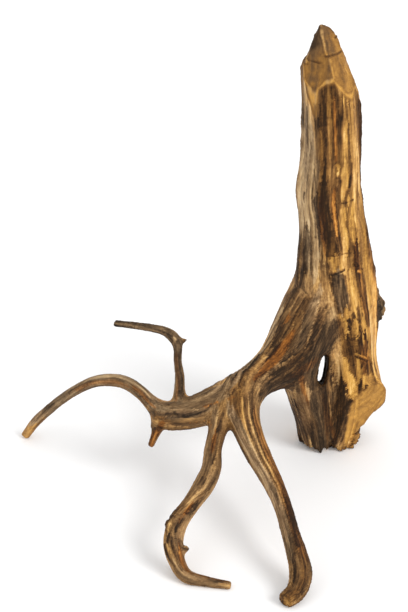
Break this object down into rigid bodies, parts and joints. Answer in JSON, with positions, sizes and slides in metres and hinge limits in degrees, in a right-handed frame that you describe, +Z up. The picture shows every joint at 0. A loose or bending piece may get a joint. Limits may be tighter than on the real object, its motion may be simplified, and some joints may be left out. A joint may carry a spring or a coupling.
{
  "type": "piece of driftwood",
  "caption": "Worn piece of driftwood: a thick stem hewn to a point, standing on its broken base and on bent, tapering roots to one side.",
  "frame": {"origin": "the middle of the broken base under the stem, on the surface that the piece stands on", "axes": "+Z up along the stem, +X to the right seen from the front, -Y towards the front, where the two long roots reach"},
  "size_m": [0.3775, 0.3043, 0.4595],
  "materials": {
    "worn_wood": "worn bare wood, grey-brown on its shaded side and ochre on its worn ridges, with dark grooves"
  },
  "bodies": {
    "root": {"driftwood": "worn_wood"}
  },
  "joints": []
}
